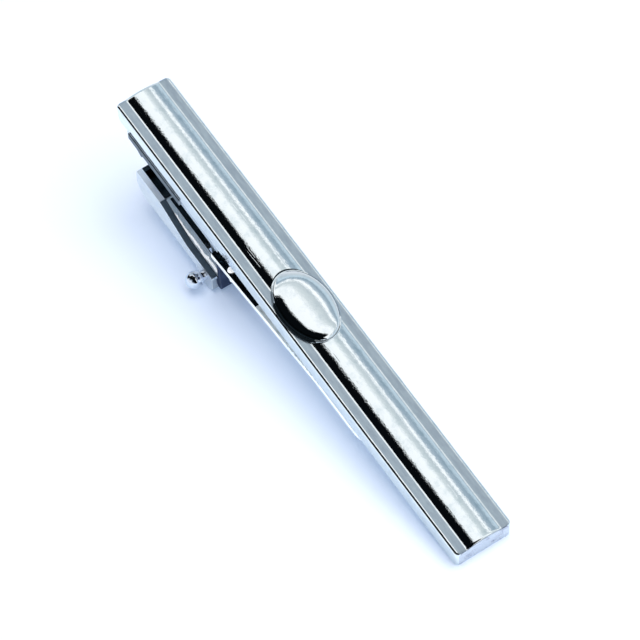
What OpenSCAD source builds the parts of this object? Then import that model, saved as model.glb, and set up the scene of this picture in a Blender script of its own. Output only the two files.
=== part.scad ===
// Tie clip: a cast front bar with an oval cabochon, and a sprung lever and jaw hinged on its back.
// X runs along the bar towards the jaw's tip, Y across it and Z out of its front face.
// The origin is the centre of the bar's flat back face. Millimetres.

/* [Front bar] */
// Length of the front bar
bar_l = 60.4; // [56:0.1:64]
// Width of the front bar
bar_w = 6.15; // [5.9:0.05:6.4]
// Thickness of the bar from its back to its flat ledges
bar_t = 2.25; // [1.8:0.05:2.8]
// Width of the flat ledge along each long edge
ledge_w = 1.05; // [0.9:0.05:1.3]
// Height of the ridge's crown above the ledges
ridge_h = 0.38; // [0.3:0.02:0.6]
// Height of the sharp step at the foot of the ridge
ridge_step = 0.1; // [0.05:0.01:0.15]
// Rounding of the bar's corners seen from the front
corner_r = 0.45; // [0.3:0.05:0.8]
// Rounding along the bar's long edges
edge_r = 0.2; // [0.1:0.02:0.3]

/* [Oval ornament] */
// Length of the oval along the bar
oval_l = 8.9; // [7:0.1:10]
// Width of the oval across the bar
oval_w = 5.7; // [5:0.1:5.8]
// Width of the bezel's flat rim
bezel_rim = 0.3; // [0.2:0.02:0.4]
// Height of the bezel above the ledges
bezel_h = 0.42; // [0.3:0.02:0.6]
// Height of the cabochon's crown above the ledges
dome_h = 1.25; // [0.9:0.05:1.6]
// Height of the cabochon's upright wall
dome_wall = 0.36; // [0.2:0.02:0.5]
// Number of flats round the oval
oval_sides = 64; // [40:4:72]

/* [Hinge bracket] */
// Thickness of the bracket's sheet
bracket_t = 0.9; // [0.7:0.05:1]
// Distance that the seat reaches past the hinge axis, towards the jaw's tip
seat_past_pin = 2.3; // [1.8:0.1:2.5]
// Length of the seat along the bar
seat_l = 7.8; // [7.4:0.1:8.2]
// Width of the narrow tongue beside the seat
tongue_w = 4.4; // [3.6:0.1:4.8]
// Thickness of each ear
ear_t = 0.5; // [0.4:0.05:0.5]
// Clearance between an ear and the rail beside it
ear_play = 0.13; // [0.08:0.01:0.16]
// Radius of the rounded end of an ear
ear_r = 1.2; // [1:0.05:1.25]
// Width of an ear where it leaves the seat
ear_root = 3.6; // [3:0.1:3.8]
// Distance from the bar's end to the bent stop lip
lip_from_end = 2.1; // [1.9:0.1:2.3]
// Length of the stop lip along the bar
lip_l = 2.3; // [2.1:0.1:2.4]
// Drop of the stop lip's outer corner below the bar's back
lip_drop = 2.1; // [1.8:0.1:2.2]

/* [Bracket rivets] */
// Radius of a rivet's shank
rivet_r = 0.5; // [0.4:0.05:0.6]
// Radius of a rivet's head
rivet_head_r = 0.9; // [0.8:0.05:1]
// Thickness of a rivet's head
rivet_head_t = 0.35; // [0.25:0.05:0.4]
// Distance between the two rivets
rivet_gap = 2.2; // [2:0.1:2.3]
// Distance from the bar's end to the first rivet
rivet_from_end = 7.6; // [7.5:0.1:7.9]
// Depth of a rivet in the bar
rivet_depth = 0.9; // [0.6:0.1:1.2]

/* [Hinge] */
// Distance from the bar's end to the hinge axis
pin_from_end = 16.5; // [16.3:0.05:16.7]
// Distance from the bar's back to the hinge axis
pin_drop = 7.9; // [7.7:0.05:8.1]
// Radius of the hinge pin
pin_r = 0.6; // [0.5:0.02:0.62]
// Radial clearance of the pin in the ears
pin_play = 0.05; // [0.03:0.01:0.08]
// Radial clearance of the pin where it is held
pin_seat = 0.01; // [0.005:0.005:0.02]
// Radius of the pin's ball heads
ball_r = 1.05; // [0.9:0.05:1.15]
// Distance from the lever's side to the middle of a ball head
ball_out = 1.35; // [1.2:0.05:1.5]
// Depth of the pin in the pressed-on ball, beyond the ball's middle
cap_depth = 0.35; // [0.2:0.05:0.5]

/* [Thumb lever] */
// Thickness of the lever's sheet
lever_t = 0.7; // [0.6:0.02:0.74]
// Width of the lever
lever_w = 7.2; // [7:0.1:7.6]
// Distance from the bar's end to the lever's tail
tail_from_end = 3.5; // [3.4:0.1:3.8]
// Distance from the bar's back to the outer face of the thumb pad
lever_drop = 8.5; // [8.4:0.05:8.6]
// Radius of the rounded tail
tail_r = 2.4; // [2:0.1:2.6]
// Height of the tail's upper corner above the outer face of the pad
tail_h = 3.45; // [3.2:0.05:3.6]
// Lean of the tail's end between its round and its upper corner
tail_lean = 0.1; // [0.05:0.05:0.3]
// Height of the low side wall at the hinge
wall_h = 1.7; // [1.65:0.05:1.8]
// Distance from the tail to where the side wall starts to slope down
rim_l = 4.9; // [4.5:0.1:5.2]
// Distance from the tail to the foot of the sloping side wall
slope_l = 9.7; // [9:0.1:10.2]
// Distance from the tail to the end of the pad
pad_l = 10.4; // [10:0.1:10.7]
// Distance from the hinge axis to the lowest point of a cheek
cheek_r = 1.9; // [1.8:0.05:2]
// Distance from the hinge axis to the square end of a cheek
cheek_end = 1.55; // [1.45:0.05:1.6]

/* [Jaw arm] */
// Width of the jaw
jaw_w = 6; // [5.8:0.1:6.2]
// Thickness of the jaw's sheet
jaw_t = 0.75; // [0.6:0.05:0.8]
// Distance from the hinge axis to the riser
riser_from_pin = 1.45; // [1.4:0.02:1.55]
// Thickness of the riser and of the flange under the jaw
riser_t = 0.6; // [0.5:0.05:0.7]
// Length of the flange along the jaw
flange_l = 3.4; // [3:0.1:4]
// Distance from the bar's back to the underside of the jaw at the riser
jaw_drop = 4.05; // [3.8:0.05:4.3]
// Length of the horn that reaches back beside each ear
horn_l = 0.75; // [0.5:0.05:0.8]
// Distance from the bar's end to the bend in the jaw
bend_from_end = 30.9; // [29.5:0.1:31.5]
// Distance from the bar's end to the start of the jaw's rounded end
round_from_end = 42.2; // [41:0.1:43]
// Distance from the bar's end to the jaw's tip
tip_from_end = 47.2; // [46:0.1:50]
// Gap between the closed jaw's teeth and the bar
jaw_gap = 0.1; // [0.08:0.01:0.15]
// Height of the teeth on the jaw's edges
tooth_h = 0.26; // [0.2:0.02:0.3]
// Width of the teeth
tooth_w = 0.6; // [0.4:0.05:0.8]
// Number of teeth along each edge
tooth_n = 9; // [5:1:10]
// Distance from one tooth to the next
tooth_pitch = 0.7; // [0.55:0.01:0.75]
// Radius of the shanks of the jaw's rivets
stud_r = 0.35; // [0.25:0.05:0.4]
// Radius of their round heads
stud_head_r = 0.6; // [0.5:0.05:0.7]
// Thickness of their flat heads under the flange
stud_head_t = 0.2; // [0.15:0.05:0.3]
// Distance from the riser to the jaw's rivets
stud_from_riser = 2; // [1.8:0.1:2.2]
// Distance of each rivet from the side of the narrower of the arm and the jaw
stud_edge = 0.78; // [0.7:0.02:0.85]
// Thickness of the tongue that lies on the thumb pad
tongue_t = 0.9; // [0.8:0.02:0.94]
// Distance from the tail to the tongue's nose
nose_from_tail = 3.5; // [3.3:0.1:4]
// Depth of the channel along the tongue
channel_depth = 0.45; // [0.3:0.05:0.5]
// Width of the lip on each side of the channel
channel_lip = 1.15; // [1:0.05:1.3]
// Rounding of the tongue's nose seen from above
nose_corner_r = 1; // [0.6:0.1:1.2]
// Distance from the tongue's nose to the end of its channel
channel_from_nose = 1.3; // [1:0.1:1.6]
// Width of each rail beside the spring
rail_t = 0.95; // [0.8:0.05:0.98]
// Clearance between the jaw arm and the lever that holds it
nest_play = 0.02; // [0.01:0.01:0.04]
// Reach of a rail's eye round the pin
eye_r = 1.25; // [1.1:0.05:1.4]

/* [Torsion spring] */
// Diameter of the spring's wire
wire_d = 0.35; // [0.28:0.01:0.36]
// Radius of the coil to the middle of the wire
coil_r = 0.95; // [0.9:0.01:1]
// Clearance between the coil and the ears at its ends
coil_play = 0.08; // [0.05:0.01:0.1]
// Whole turns in the coil, beyond the part turn between its legs
coil_turns = 2; // [1:1:2]
// Lean of the long leg from the bar's length
long_leg_angle = 60; // [56:1:64]
// Length of the long leg's foot along the bracket
foot_l = 0.9; // [0.5:0.1:1.2]
// Length of the short leg along the tongue
short_leg_l = 4; // [3:0.1:4.5]

/* [Hidden] */
$fn = 48;

// Overrun of every cut beyond the face that it goes through
over = 1;
// Gap between pieces that are soldered or pressed together
seam = 0.01;
// Gap left between the spring's legs and what they press on
leg_gap = 0.02;

// The bar's end is where the other stations are measured from
bar_end = -bar_l / 2;
pin_x = bar_end + pin_from_end;
pin_z = -pin_drop;

// The ridge between the ledges
ridge_w = bar_w - 2 * ledge_w;
crown = ridge_h - ridge_step;
ridge_r = (pow(ridge_w / 2, 2) + pow(crown, 2)) / (2 * crown);

// The oval's outlines, each as half lengths along and across the bar
bezel_half = [oval_l / 2, oval_w / 2];
dome_half = bezel_half - [bezel_rim, bezel_rim];
// Rings of the cabochon above its wall
dome_rings = 12;
// Shares of the dome's reach and height, higher for a fuller dome
dome_full_share = 0.86;

// Corners of the stop lip, as shares of its length and of its drop
lip_x = bar_end + lip_from_end;
lip_shares = [[0, 0], [0.06, -0.6], [0.18, -0.74], [1, -1], [1, -0.55], [0.45, -0.2], [0.45, 0]];

// The lever
lever_in = lever_w / 2 - lever_t;
tail_x = bar_end + tail_from_end;
pad_z = -lever_drop;
floor_z = pad_z + lever_t;
rim_x = tail_x + rim_l;
slope_x = tail_x + slope_l;
pad_end = tail_x + pad_l;
cheek_x = pin_x + cheek_end;

// The jaw and the arm that carries it
arm_half = lever_in - nest_play;
rail_in = arm_half - rail_t;
ear_out = rail_in - ear_play;
riser_x = pin_x + riser_from_pin;
flange_x = riser_x + flange_l;
bend_x = bar_end + bend_from_end;
round_x = bar_end + round_from_end;
tip_x = bar_end + tip_from_end;
jaw_z = -jaw_gap - tooth_h - jaw_t;
horn_x = riser_x - horn_l;
jaw_slope = (jaw_z + jaw_drop) / (bend_x - riser_x);
stud_x = riser_x + stud_from_riser;
stud_out = min(arm_half, jaw_w / 2) - stud_edge;
tongue_z = floor_z + nest_play;
tongue_top = tongue_z + tongue_t;
nose_x = tail_x + nose_from_tail;
nose_r = tongue_t / 2;
channel_x = nose_x + channel_from_nose;
channel_half = arm_half - channel_lip;
// Half the angle that a rivet's round head spans
stud_dome_angle = 60;

// The spring's shape
wire_sides = 6;
curl_rings = 8;
short_leg_rise = tongue_top - channel_depth + wire_d / 2 + leg_gap - pin_z;
seat_under = -bracket_t - wire_d / 2 - leg_gap - pin_z;

// Height of the jaw's underside at a station on its slope
function under(x) = -jaw_drop + (x - riser_x) * jaw_slope;

function along(a, r) = [r * cos(a), r * sin(a)];

// The coil starts where the long leg meets it and ends where the short leg leaves it
coil_start = 270 - long_leg_angle;
short_lean = asin((short_leg_rise - coil_r) / (pin_x - pad_end));
coil_end = 90 - short_lean;
coil_angle = 360 * coil_turns + (coil_end > coil_start ? coil_end - coil_start : 360 + coil_end - coil_start);
coil_steps = ceil(curl_rings * coil_angle / 360);
coil_l = 2 * (ear_out - ear_t - coil_play) - wire_d;

function coil_point(i) = let (a = coil_start + coil_angle * i / coil_steps, p = along(a, coil_r))
    [p[0], coil_l / 2 - coil_l * i / coil_steps, p[1]];

coil_points = [for (i = [0:coil_steps]) coil_point(i)];
long_leg_l = (seat_under - coil_points[0][2]) / sin(long_leg_angle);
long_leg_end = coil_points[0] + long_leg_l * [-cos(long_leg_angle), 0, sin(long_leg_angle)];
short_leg_bend = [pad_end - pin_x, -coil_l / 2, short_leg_rise];
wire_path = concat(
    [long_leg_end - [foot_l, 0, 0], long_leg_end],
    coil_points,
    [short_leg_bend, short_leg_bend - [short_leg_l, 0, 0]]);

// Two points of the wire are neighbours unless at least this many rings lie between them
far_rings = curl_rings - 2;
coil_gaps = [for (i = [0:coil_steps]) for (j = [i + far_rings:1:coil_steps])
    norm(coil_points[i] - coil_points[j]) - wire_d];
echo(least_gap_between_turns = min(coil_gaps));
echo(jaw_opens_until_the_tail_meets_the_bracket =
    asin((pin_drop - bracket_t) / norm([pin_x - tail_x - tail_lean, pin_drop - lever_drop + tail_h]))
    - atan2(pin_drop - lever_drop + tail_h, pin_x - tail_x - tail_lean));

// A profile drawn in X and Z, made w wide and centred on the clip's middle plane
module across(w) {
    rotate([90, 0, 0]) translate([0, 0, -w / 2]) linear_extrude(w) children();
}

// The same profile, made t thick on each side with its outer faces out from the middle plane
module pair(out, t) {
    for (side = [-1, 1])
        translate([0, side * (out - t / 2), 0]) across(t) children();
}

// A bore along the hinge axis
module hinge_bore(r, w) {
    translate([pin_x, w / 2, pin_z]) rotate([90, 0, 0]) cylinder(r = r, h = w);
}

// A rectangle from one corner to the opposite one
module box2(a, b) {
    translate(a) square(b - a);
}

// A block from one corner to the opposite one
module box3(a, b) {
    translate(a) cube(b - a);
}

// An oval of given half lengths, with its first point on the X axis
module oval2(half) {
    polygon([for (i = [0:oval_sides - 1]) let (a = 360 * i / oval_sides)
        [half[0] * cos(a), half[1] * sin(a)]]);
}

// The front bar seen along its length, without its ridge
module bar_section() {
    half = bar_w / 2;
    box2([-half + edge_r, 0], [half - edge_r, bar_t]);
    box2([-half, edge_r], [half, bar_t - edge_r]);
    for (y = [-half + edge_r, half - edge_r])
        for (z = [edge_r, bar_t - edge_r])
            translate([y, z]) circle(edge_r);
}

// The front bar seen from above
module bar_plan() {
    half = [bar_l, bar_w] / 2;
    box2([-half[0] + corner_r, -half[1]], [half[0] - corner_r, half[1]]);
    box2([-half[0], -half[1] + corner_r], [half[0], half[1] - corner_r]);
    for (x = [-half[0] + corner_r, half[0] - corner_r])
        for (y = [-half[1] + corner_r, half[1] - corner_r])
            translate([x, y]) circle(corner_r);
}

// The ridge is the top of a long cylinder, cut upright at its feet
module ridge() {
    intersection() {
        translate([-bar_l / 2, 0, bar_t + ridge_h - ridge_r]) rotate([0, 90, 0])
            cylinder(r = ridge_r, h = bar_l, $fn = 180);
        box3([-bar_l / 2, -ridge_w / 2, bar_t - edge_r], [bar_l / 2, ridge_w / 2, bar_t + ridge_h + over]);
    }
}

module rivet_places() {
    for (x = [0, rivet_gap]) translate([bar_end + rivet_from_end + x, 0, 0]) children();
}

module front_bar() {
    color("silver") difference() {
        intersection() {
            union() {
                translate([-bar_l / 2, 0, 0]) rotate([90, 0, 90]) linear_extrude(bar_l) bar_section();
                ridge();
            }
            translate([0, 0, -over]) linear_extrude(bar_t + ridge_h + 2 * over) bar_plan();
        }
        translate([0, 0, bar_t]) linear_extrude(ridge_h + over) oval2(bezel_half + [seam, seam]);
        rivet_places() translate([0, 0, -over]) cylinder(r = rivet_r, h = rivet_depth + over);
    }
}

// The bezel is a flat oval ring that lies in the gap of the ridge
module oval_bezel() {
    color("silver") translate([0, 0, bar_t]) linear_extrude(bezel_h) difference() {
        oval2(bezel_half);
        oval2(dome_half + [seam, seam]);
    }
}

// The cabochon is a low wall with a full dome on it, made of rings of the same oval
dome_profile = concat([[1, 0]], [for (i = [0:dome_rings - 1]) let (a = 90 * i / dome_rings)
    [pow(cos(a), dome_full_share), dome_wall + (dome_h - dome_wall) * sin(a)]]);
dome_levels = len(dome_profile);
dome_points = concat(
    [for (p = dome_profile) for (i = [0:oval_sides - 1]) let (a = 360 * i / oval_sides)
        [dome_half[0] * p[0] * cos(a), dome_half[1] * p[0] * sin(a), p[1]]],
    [[0, 0, 0], [0, 0, dome_h]]);
dome_foot = dome_levels * oval_sides;
dome_faces = concat(
    [for (k = [0:dome_levels - 2]) for (i = [0:oval_sides - 1]) let (j = (i + 1) % oval_sides)
        [k * oval_sides + i, (k + 1) * oval_sides + i, (k + 1) * oval_sides + j]],
    [for (k = [0:dome_levels - 2]) for (i = [0:oval_sides - 1]) let (j = (i + 1) % oval_sides)
        [k * oval_sides + i, (k + 1) * oval_sides + j, k * oval_sides + j]],
    [for (i = [0:oval_sides - 1]) let (j = (i + 1) % oval_sides) [dome_foot, i, j]],
    [for (i = [0:oval_sides - 1]) let (j = (i + 1) % oval_sides, top = (dome_levels - 1) * oval_sides)
        [dome_foot + 1, top + j, top + i]]);

module oval_cabochon() {
    color("gainsboro") translate([0, 0, bar_t]) polyhedron(dome_points, dome_faces);
}

// The stop lip leaves the bar at its end and slopes away from it
module lip_profile() {
    polygon([for (s = lip_shares) [lip_x + lip_l * s[0], lip_drop * s[1]]]);
}

// An ear narrows from the seat to its round eye
module ear_profile() {
    top = -bracket_t / 2;
    right = pin_x + ear_r;
    polygon([[right - ear_root, top], [right, top], [right, pin_z], [pin_x, pin_z - ear_r],
        [pin_x - ear_r, pin_z]]);
    translate([pin_x, pin_z]) circle(ear_r);
}

module hinge_bracket() {
    seat_x = pin_x + seat_past_pin - seat_l;
    color("lightgray") difference() {
        union() {
            box3([seat_x, -bar_w / 2, -bracket_t], [seat_x + seat_l, bar_w / 2, 0]);
            box3([lip_x, -tongue_w / 2, -bracket_t], [seat_x + bracket_t, tongue_w / 2, 0]);
            across(bar_w) lip_profile();
            pair(ear_out, ear_t) ear_profile();
        }
        hinge_bore(pin_r + pin_play, lever_w);
        rivet_places() translate([0, 0, -bracket_t - over])
            cylinder(r = rivet_r + seam, h = bracket_t + 2 * over);
    }
}

// Each rivet stands in the bar and is headed over the bracket
module bracket_rivets() {
    color("gainsboro") rivet_places() {
        translate([0, 0, -bracket_t - seam]) cylinder(r = rivet_r, h = rivet_depth + bracket_t + seam);
        translate([0, 0, -bracket_t - rivet_head_t - seam])
            cylinder(r1 = rivet_head_r - rivet_head_t, r2 = rivet_head_r, h = rivet_head_t, $fn = 32);
    }
}

// The lever before it is hollowed: its side walls are level at the tail, slope down and end in a round cheek
module lever_body() {
    cx = tail_x + tail_r;
    cz = pad_z + tail_r;
    wall_z = pad_z + wall_h;
    across(lever_w) polygon([[tail_x, cz], [tail_x + tail_lean, pad_z + tail_h], [rim_x, pad_z + tail_h],
        [slope_x, wall_z], [cheek_x, wall_z], [cheek_x, pin_z], [pin_x, pin_z], [pin_x, pad_z], [cx, pad_z],
        [cx, cz]]);
    intersection() {
        across(lever_w) translate([cx, cz]) circle(tail_r, $fn = 96);
        box3([tail_x - over, -lever_w, pad_z - over], [cx, lever_w, cz]);
    }
    across(lever_w) translate([pin_x, pin_z]) circle(cheek_r, $fn = 64);
}

// The hollow of the lever, open above and at the hinge
module lever_hollow() {
    cx = tail_x + tail_r;
    cz = pad_z + tail_r;
    top = pad_z + tail_h + over;
    translate([cx, cz]) circle(tail_r - lever_t, $fn = 96);
    low = pad_z - lever_w;
    polygon([[cx, cz], [cx, floor_z], [pad_end, floor_z], [pad_end, low], [cheek_x + over, low],
        [cheek_x + over, top], [tail_x + lever_t + tail_lean * (top - cz) / (pad_z + tail_h - cz), top],
        [tail_x + lever_t, cz]]);
}

module thumb_lever() {
    color("silver") difference() {
        lever_body();
        across(2 * lever_in) lever_hollow();
        box3([cheek_x, -lever_w, pin_z - lever_w], [cheek_x + lever_w, lever_w, pin_z + lever_w]);
        hinge_bore(pin_r + pin_seat, lever_w + 2 * over);
    }
}

// The jaw from the side: a sheet that slopes up to the bar, bends and runs on beside it
module jaw_profile(x) {
    polygon([[x, under(x)], [bend_x, jaw_z], [tip_x, jaw_z], [tip_x, jaw_z + jaw_t], [bend_x, jaw_z + jaw_t],
        [x, under(x) + jaw_t]]);
}

// The jaw from above: parallel sides and a long oval end
module jaw_plan() {
    half = jaw_w / 2;
    polygon(concat([[horn_x, -half]],
        [for (a = [-90:10:90]) [round_x + (tip_x - round_x) * cos(a), half * sin(a)]],
        [[horn_x, half]]));
}

// A row of pointed teeth that starts at the bend
module teeth_profile() {
    z = jaw_z + jaw_t;
    for (i = [0:tooth_n - 1]) let (x = bend_x + tooth_pitch * i)
        polygon([[x, z - tooth_h], [x + tooth_pitch, z - tooth_h], [x + tooth_pitch, z],
            [x + tooth_pitch / 2, z + tooth_h], [x, z]]);
}

// The rivets stand square to the jaw's slope, with their origin on its underside
module stud_places() {
    for (side = [-1, 1])
        translate([stud_x, side * stud_out, under(stud_x)]) rotate([0, -atan(jaw_slope), 0]) children();
}

module stud_holes() {
    stud_places() translate([0, 0, -riser_t - over])
        cylinder(r = stud_r + seam, h = riser_t + jaw_t + 2 * over);
}

module jaw_strip() {
    color("silver") difference() {
        intersection() {
            union() {
                across(jaw_w) jaw_profile(riser_x);
                pair(jaw_w / 2, jaw_w / 2 - rail_in) jaw_profile(horn_x);
                pair(jaw_w / 2, tooth_w) teeth_profile();
            }
            translate([0, 0, -2 * jaw_drop]) linear_extrude(2 * jaw_drop) jaw_plan();
        }
        stud_holes();
    }
}

// Each rivet joins the jaw to the flange under it, with a round head on the jaw and a flat one below
module jaw_rivets() {
    low = riser_t + 2 * seam;
    dome_r = stud_head_r / sin(stud_dome_angle);
    color("gainsboro") stud_places() {
        translate([0, 0, -low]) cylinder(r = stud_r, h = low + jaw_t + 2 * seam);
        translate([0, 0, jaw_t + seam]) intersection() {
            translate([0, 0, -dome_r * cos(stud_dome_angle)]) sphere(dome_r, $fn = 32);
            cylinder(r = stud_head_r, h = stud_head_r, $fn = 32);
        }
        translate([0, 0, -low - stud_head_t]) cylinder(r = stud_head_r, h = stud_head_t, $fn = 32);
    }
}

// The tongue lies on the thumb pad and ends in a round nose
module tongue_profile() {
    translate([nose_x + nose_r, tongue_z + nose_r]) circle(nose_r);
    box2([nose_x + nose_r, tongue_z], [pad_end, tongue_top]);
}

// The tongue from above, with its nose rounded between straight sides
module tongue_plan() {
    box2([nose_x + nose_corner_r, -arm_half], [pad_end + over, arm_half]);
    box2([nose_x, -arm_half + nose_corner_r], [pad_end + over, arm_half - nose_corner_r]);
    for (side = [-1, 1])
        translate([nose_x + nose_corner_r, side * (arm_half - nose_corner_r)]) circle(nose_corner_r);
}

module tongue() {
    intersection() {
        across(2 * arm_half) tongue_profile();
        translate([0, 0, tongue_z - over]) linear_extrude(tongue_t + 2 * over) tongue_plan();
    }
}

// The rails run past the spring and carry an eye round the pin
module rail_profile() {
    box2([pad_end - rail_t, tongue_z], [riser_x + riser_t, tongue_top]);
    translate([pin_x, pin_z]) circle(eye_r);
    box2([pin_x, pin_z - eye_r], [riser_x + riser_t, tongue_top]);
}

// The riser climbs to the jaw and turns into the flange under it
module riser_profile() {
    x = riser_x + riser_t;
    polygon([[riser_x, pin_z - eye_r], [x, pin_z - eye_r], [x, under(x) - riser_t - seam],
        [flange_x, under(flange_x) - riser_t - seam], [flange_x, under(flange_x) - seam],
        [riser_x, under(riser_x) - seam]]);
}

module jaw_arm() {
    color("gainsboro") difference() {
        union() {
            tongue();
            pair(arm_half, rail_t) rail_profile();
            across(2 * arm_half) riser_profile();
        }
        box3([channel_x, -channel_half, tongue_top - channel_depth],
            [pad_end + over, channel_half, tongue_top + over]);
        hinge_bore(pin_r + pin_seat, lever_w);
        stud_holes();
    }
}

// The pin has one ball head made with it
module hinge_pin() {
    ball_y = lever_w / 2 + ball_out;
    color("lightgray") translate([pin_x, 0, pin_z]) rotate([90, 0, 0]) {
        translate([0, 0, -ball_y - cap_depth]) cylinder(r = pin_r, h = 2 * ball_y + cap_depth);
        translate([0, 0, ball_y]) sphere(ball_r);
    }
}

// The other ball is pressed on the pin's end
module pin_cap() {
    ball_y = lever_w / 2 + ball_out;
    color("lightgray") translate([pin_x, ball_y, pin_z]) rotate([-90, 0, 0]) difference() {
        sphere(ball_r);
        translate([0, 0, -ball_r - over])
            cylinder(r = pin_r + pin_seat, h = ball_r + over + cap_depth + seam);
    }
}

// Sweeps a ring of wire_sides points along a path that turns about Y
function unit(v) = v / norm(v);
function path_way(path, i) = unit(path[min(i + 1, len(path) - 1)] - path[max(i - 1, 0)]);
function ring(path, i) = let (t = path_way(path, i), n = unit(cross(t, [0, 1, 0])), b = cross(t, n))
    [for (k = [0:wire_sides - 1]) let (p = along(360 * k / wire_sides, wire_d / 2))
        path[i] + n * p[0] + b * p[1]];

module wire(path) {
    rings = len(path);
    points = [for (i = [0:rings - 1]) for (p = ring(path, i)) p];
    last = (rings - 1) * wire_sides;
    skins = [for (i = [0:rings - 2]) for (k = [0:wire_sides - 1]) for (half = [0, 1])
        let (m = (k + 1) % wire_sides, a = i * wire_sides, b = a + wire_sides)
        half == 0 ? [a + k, b + m, b + k] : [a + k, a + m, b + m]];
    caps = concat([for (k = [1:wire_sides - 2]) [0, k + 1, k]],
        [for (k = [1:wire_sides - 2]) [last, last + k, last + k + 1]]);
    polyhedron(points, concat(skins, caps));
}

module torsion_spring() {
    color("darkgray") translate([pin_x, 0, pin_z]) wire(wire_path);
}

front_bar();
oval_bezel();
oval_cabochon();
hinge_bracket();
bracket_rivets();
thumb_lever();
jaw_arm();
jaw_strip();
jaw_rivets();
hinge_pin();
pin_cap();
torsion_spring();
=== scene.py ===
import math
import bpy
from mathutils import Matrix, Vector


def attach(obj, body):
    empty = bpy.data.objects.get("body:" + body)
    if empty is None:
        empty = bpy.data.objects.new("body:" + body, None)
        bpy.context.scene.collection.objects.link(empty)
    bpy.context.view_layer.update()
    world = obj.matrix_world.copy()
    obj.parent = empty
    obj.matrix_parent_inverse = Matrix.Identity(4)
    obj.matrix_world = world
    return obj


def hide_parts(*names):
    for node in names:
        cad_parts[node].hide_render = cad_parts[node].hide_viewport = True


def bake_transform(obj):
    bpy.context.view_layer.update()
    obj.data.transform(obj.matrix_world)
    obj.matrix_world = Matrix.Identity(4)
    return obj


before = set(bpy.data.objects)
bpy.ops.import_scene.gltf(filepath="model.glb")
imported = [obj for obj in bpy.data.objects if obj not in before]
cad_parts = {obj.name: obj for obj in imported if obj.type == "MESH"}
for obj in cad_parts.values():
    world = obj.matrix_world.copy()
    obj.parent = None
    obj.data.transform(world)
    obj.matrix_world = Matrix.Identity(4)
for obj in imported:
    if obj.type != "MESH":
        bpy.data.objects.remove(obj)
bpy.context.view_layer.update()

mm = 0.001  # pieces are modelled in millimetres and brought to metres at the end

# Camera
view = {
    "place": (133.94, -77.29, 272.38),  # mm, in the part's own frame
    "target": (2.30, 0.24, 2.25),
    "roll": -3.262,
    "lens": 180.0,
    "sensor": 36.0,
    "clip": (0.01, 20.0),  # metres
}


def setCamera():
    data = bpy.data.cameras.new("camera")
    data.lens = view["lens"]
    data.sensor_width = view["sensor"]
    data.clip_start, data.clip_end = view["clip"]
    camera = bpy.data.objects.new("camera", data)
    bpy.context.scene.collection.objects.link(camera)
    place = Vector(view["place"]) * mm
    aim = (Vector(view["target"]) * mm - place).normalized()
    turn = aim.to_track_quat("-Z", "Y").to_matrix() @ Matrix.Rotation(math.radians(view["roll"]), 3, "Z")
    camera.matrix_world = Matrix.Translation(place) @ turn.to_4x4()
    bpy.context.scene.camera = camera


setCamera()
print("camera placed")


# Materials: one class for a value in a node tree, and one for the tree itself
class Value:
    def __init__(self, tree, socket):
        self.tree = tree
        self.socket = socket

    def maths(self, operation, *others):
        return self.tree.node("ShaderNodeMath", {"operation": operation}, dict(enumerate((self,) + others)))

    def __add__(self, other):
        return self.maths("ADD", other)

    def __sub__(self, other):
        return self.maths("SUBTRACT", other)

    def __mul__(self, other):
        return self.maths("MULTIPLY", other)

    def __truediv__(self, other):
        return self.maths("DIVIDE", other)

    def __rsub__(self, other):
        return self.tree.node("ShaderNodeMath", {"operation": "SUBTRACT"}, {0: other, 1: self})

    __radd__ = __add__
    __rmul__ = __mul__


class Tree:
    def __init__(self, owner):
        owner.use_nodes = True
        self.nodes = owner.node_tree.nodes
        self.links = owner.node_tree.links
        self.nodes.clear()

    def node(self, kind, settings, inputs, output=0):
        made = self.nodes.new(kind)
        for name, setting in settings.items():
            if name == "stops":
                self.setStops(made.color_ramp, setting)
            else:
                setattr(made, name, setting)
        for name, value in inputs.items():
            if isinstance(value, Value):
                self.links.new(value.socket, made.inputs[name])
            else:
                made.inputs[name].default_value = value
        return Value(self, made.outputs[output]) if len(made.outputs) else made

    def setStops(self, ramp, stops):
        while len(ramp.elements) < len(stops):
            ramp.elements.new(1.0)
        for element, (place, colour) in zip(ramp.elements, stops):
            element.position = place
            element.color = opaque(colour)

    def coordinates(self, output="Object"):
        return self.node("ShaderNodeTexCoord", {}, {}, output)

    def axis(self, vector, index):
        return self.node("ShaderNodeSeparateXYZ", {}, {"Vector": vector}, index)

    def noise(self, scale, detail, roughness, stretch=None):
        place = self.coordinates()
        if stretch:
            place = self.node("ShaderNodeMapping", {}, {"Vector": place, "Scale": stretch})
        return self.node("ShaderNodeTexNoise", {}, {
            "Vector": place, "Scale": scale, "Detail": detail, "Roughness": roughness})

    def smooth(self, value, low, high, start=0.0, end=1.0):
        return self.node("ShaderNodeMapRange", {"interpolation_type": "SMOOTHSTEP"}, {
            "Value": value, "From Min": low, "From Max": high, "To Min": start, "To Max": end})

    def mixColours(self, amount, first, second):
        return self.node("ShaderNodeMix", {"data_type": "RGBA"}, {0: amount, 6: first, 7: second}, 2)

    def mixNumbers(self, amount, first, second):
        return self.node("ShaderNodeMix", {"data_type": "FLOAT"}, {0: amount, 2: first, 3: second}, 0)


def opaque(colour):
    return tuple(colour) + (1.0,)


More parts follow.
